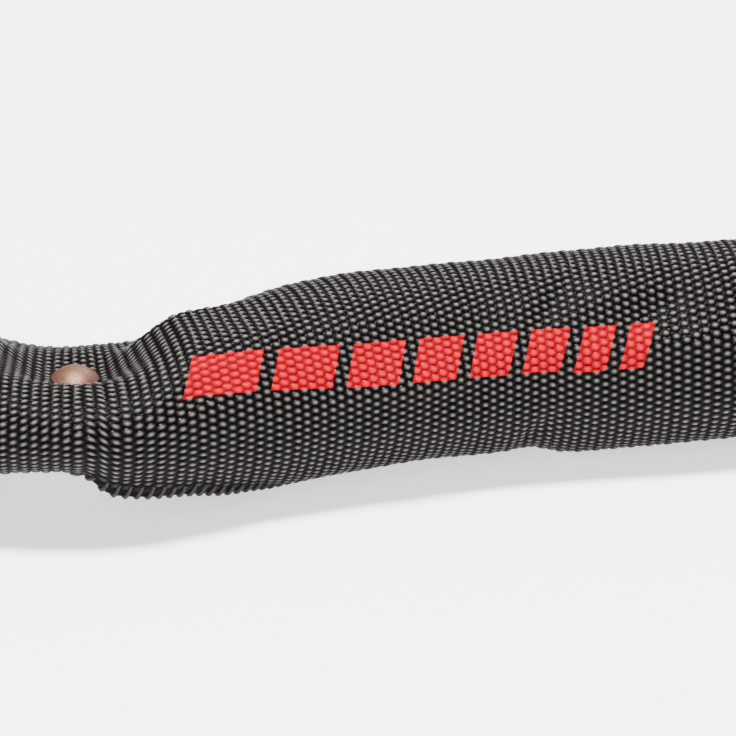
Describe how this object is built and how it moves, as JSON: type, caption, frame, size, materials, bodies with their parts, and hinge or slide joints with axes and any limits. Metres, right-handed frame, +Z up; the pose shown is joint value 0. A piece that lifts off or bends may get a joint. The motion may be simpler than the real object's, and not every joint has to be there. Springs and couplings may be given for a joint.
{
  "type": "combination chain lock",
  "caption": "Unlocked combination chain lock: square-bar chain in a woven sleeve, lying in one loop, with its locking stud beside the dial barrel.",
  "frame": {"origin": "bottom centre of the whole lock's outline, on the table it lies on", "axes": "+Z up; the barrel lies along X with its socket facing -X; the chain loop lies in the XY plane, towards +Y"},
  "size_m": [0.2714, 0.272, 0.029],
  "materials": {
    "barrel_finish": "satin black",
    "dial_finish": "satin black",
    "collar_finish": "satin",
    "chain_steel": "hardened, zinc plated",
    "woven_sleeve": "coarse plain weave, black",
    "rivet_copper": "copper brown",
    "seal_rubber": "matte",
    "stud_steel": "satin",
    "inner_brass": "machined",
    "inner_steel": "machined"
  },
  "bodies": {
    "barrel": {"socket_cap": "barrel_finish", "socket_seal": "seal_rubber", "core": "inner_steel", "detent_leaf": "inner_steel", "spacer_rings": "inner_brass", "anchor_block": "barrel_finish", "anchor_pin": "inner_steel", "grub_screws": "inner_steel"},
    "dial_1": {"dial_1": "dial_finish", "gate_ring_1": "inner_brass"},
    "dial_2": {"dial_2": "dial_finish", "gate_ring_2": "inner_brass"},
    "dial_3": {"dial_3": "dial_finish", "gate_ring_3": "inner_brass"},
    "dial_4": {"dial_4": "dial_finish", "gate_ring_4": "inner_brass"},
    "reset_collar": {"reset_collar": "collar_finish"},
    "link_01": {"link_01": "chain_steel"},
    "link_02": {"link_02": "chain_steel", "sleeve_02": "woven_sleeve"},
    "link_03": {"link_03": "chain_steel", "sleeve_pinch_03": "woven_sleeve", "rivet_03": "rivet_copper"},
    "link_04": {"link_04": "chain_steel", "sleeve_04": "woven_sleeve"},
    "link_05": {"link_05": "chain_steel"},
    "link_06": {"link_06": "chain_steel", "sleeve_06": "woven_sleeve"},
    "link_07": {"link_07": "chain_steel"},
    "link_08": {"link_08": "chain_steel", "sleeve_08": "woven_sleeve"},
    "link_09": {"link_09": "chain_steel"},
    "link_10": {"link_10": "chain_steel", "sleeve_10": "woven_sleeve"},
    "link_11": {"link_11": "chain_steel"},
    "link_12": {"link_12": "chain_steel", "sleeve_12": "woven_sleeve"},
    "link_13": {"link_13": "chain_steel"},
    "link_14": {"link_14": "chain_steel", "sleeve_14": "woven_sleeve"},
    "link_15": {"link_15": "chain_steel"},
    "link_16": {"link_16": "chain_steel", "sleeve_16": "woven_sleeve"},
    "link_17": {"link_17": "chain_steel"},
    "link_18": {"link_18": "chain_steel", "sleeve_18": "woven_sleeve"},
    "link_19": {"link_19": "chain_steel"},
    "link_20": {"link_20": "chain_steel", "sleeve_20": "woven_sleeve"},
    "link_21": {"link_21": "chain_steel", "sleeve_pinch_21": "woven_sleeve", "rivet_21": "rivet_copper"},
    "link_22": {"link_22": "chain_steel", "sleeve_22": "woven_sleeve"},
    "link_23": {"link_23": "chain_steel"},
    "stud": {"stud": "stud_steel", "stud_head": "barrel_finish", "clevis_pin": "inner_steel"}
  },
  "joints": [
    {"name": "dial_1_spin", "type": "hinge", "parent": "barrel", "child": "dial_1", "pos_m": [-0.00917, -0.12097, 0.014], "axis": [1, 0, 0], "continuous": true},
    {"name": "dial_2_spin", "type": "hinge", "parent": "barrel", "child": "dial_2", "pos_m": [-0.00077, -0.12097, 0.014], "axis": [1, 0, 0], "continuous": true},
    {"name": "dial_3_spin", "type": "hinge", "parent": "barrel", "child": "dial_3", "pos_m": [0.00763, -0.12097, 0.014], "axis": [1, 0, 0], "continuous": true},
    {"name": "dial_4_spin", "type": "hinge", "parent": "barrel", "child": "dial_4", "pos_m": [0.01603, -0.12097, 0.014], "axis": [1, 0, 0], "continuous": true},
    {"name": "collar_reset_turn", "type": "hinge", "parent": "barrel", "child": "reset_collar", "pos_m": [0.02273, -0.12097, 0.014], "axis": [1, 0, 0], "range_deg": [0, 90]},
    {"name": "link_hinge_01", "type": "hinge", "parent": "barrel", "child": "link_01", "pos_m": [0.04563, -0.12097, 0.014], "axis": [0, 0, 1], "range_deg": [-26, 0]},
    {"name": "link_hinge_02", "type": "hinge", "parent": "link_01", "child": "link_02", "pos_m": [0.06361, -0.11221, 0.014], "axis": [0, 0, 1], "range_deg": [-26, 0]},
    {"name": "link_hinge_03", "type": "hinge", "parent": "link_02", "child": "link_03", "pos_m": [0.08454, -0.08541, 0.014], "axis": [0, 0, 1], "range_deg": [-8, 0]},
    {"name": "link_hinge_04", "type": "hinge", "parent": "link_03", "child": "link_04", "pos_m": [0.09454, -0.06809, 0.014], "axis": [0, 0, 1], "range_deg": [-17, 0]},
    {"name": "link_hinge_05", "type": "hinge", "parent": "link_04", "child": "link_05", "pos_m": [0.10219, -0.03496, 0.014], "axis": [0, 0, 1], "range_deg": [-8, 0]},
    {"name": "link_hinge_06", "type": "hinge", "parent": "link_05", "child": "link_06", "pos_m": [0.10837, -0.01594, 0.014], "axis": [0, 0, 1], "range_deg": [-8, 0]},
    {"name": "link_hinge_07", "type": "hinge", "parent": "link_06", "child": "link_07", "pos_m": [0.1222, 0.01512, 0.014], "axis": [0, 0, 1], "range_deg": [-22, 0]},
    {"name": "link_hinge_08", "type": "hinge", "parent": "link_07", "child": "link_08", "pos_m": [0.1229, 0.03511, 0.014], "axis": [0, 0, 1], "range_deg": [-22, 0]},
    {"name": "link_hinge_09", "type": "hinge", "parent": "link_08", "child": "link_09", "pos_m": [0.11127, 0.06706, 0.014], "axis": [0, 0, 1], "range_deg": [-22, 0]},
    {"name": "link_hinge_10", "type": "hinge", "parent": "link_09", "child": "link_10", "pos_m": [0.09789, 0.08192, 0.014], "axis": [0, 0, 1], "range_deg": [-22, 0]},
    {"name": "link_hinge_11", "type": "hinge", "parent": "link_10", "child": "link_11", "pos_m": [0.06733, 0.09682, 0.014], "axis": [0, 0, 1], "range_deg": [-3, 0]},
    {"name": "link_hinge_12", "type": "hinge", "parent": "link_11", "child": "link_12", "pos_m": [0.04892, 0.10464, 0.014], "axis": [0, 0, 1], "range_deg": [-3, 0]},
    {"name": "link_hinge_13", "type": "hinge", "parent": "link_12", "child": "link_13", "pos_m": [0.01697, 0.11627, 0.014], "axis": [0, 0, 1], "range_deg": [-3, 0]},
    {"name": "link_hinge_14", "type": "hinge", "parent": "link_13", "child": "link_14", "pos_m": [-0.00216, 0.12211, 0.014], "axis": [0, 0, 1], "range_deg": [-22, 0]},
    {"name": "link_hinge_15", "type": "hinge", "parent": "link_14", "child": "link_15", "pos_m": [-0.03603, 0.11915, 0.014], "axis": [0, 0, 1], "range_deg": [-22, 0]},
    {"name": "link_hinge_16", "type": "hinge", "parent": "link_15", "child": "link_16", "pos_m": [-0.05385, 0.11007, 0.014], "axis": [0, 0, 1], "range_deg": [-22, 0]},
    {"name": "link_hinge_17", "type": "hinge", "parent": "link_16", "child": "link_17", "pos_m": [-0.07616, 0.08441, 0.014], "axis": [0, 0, 1], "range_deg": [-6, 0]},
    {"name": "link_hinge_18", "type": "hinge", "parent": "link_17", "child": "link_18", "pos_m": [-0.08763, 0.06803, 0.014], "axis": [0, 0, 1], "range_deg": [-6, 0]},
    {"name": "link_hinge_19", "type": "hinge", "parent": "link_18", "child": "link_19", "pos_m": [-0.10411, 0.03829, 0.014], "axis": [0, 0, 1], "range_deg": [-6, 0]},
    {"name": "link_hinge_20", "type": "hinge", "parent": "link_19", "child": "link_20", "pos_m": [-0.11193, 0.01988, 0.014], "axis": [0, 0, 1], "range_deg": [-6, 0]},
    {"name": "link_hinge_21", "type": "hinge", "parent": "link_20", "child": "link_21", "pos_m": [-0.12187, -0.01263, 0.014], "axis": [0, 0, 1], "range_deg": [-20, 0]},
    {"name": "link_hinge_22", "type": "hinge", "parent": "link_21", "child": "link_22", "pos_m": [-0.12082, -0.03261, 0.014], "axis": [0, 0, 1], "range_deg": [-20, 0]},
    {"name": "link_hinge_23", "type": "hinge", "parent": "link_22", "child": "link_23", "pos_m": [-0.10753, -0.0639, 0.014], "axis": [0, 0, 1], "range_deg": [-20, 0]},
    {"name": "link_hinge_24", "type": "hinge", "parent": "link_23", "child": "stud", "pos_m": [-0.09389, -0.07853, 0.014], "axis": [0, 0, 1], "range_deg": [-20, 0]}
  ]
}
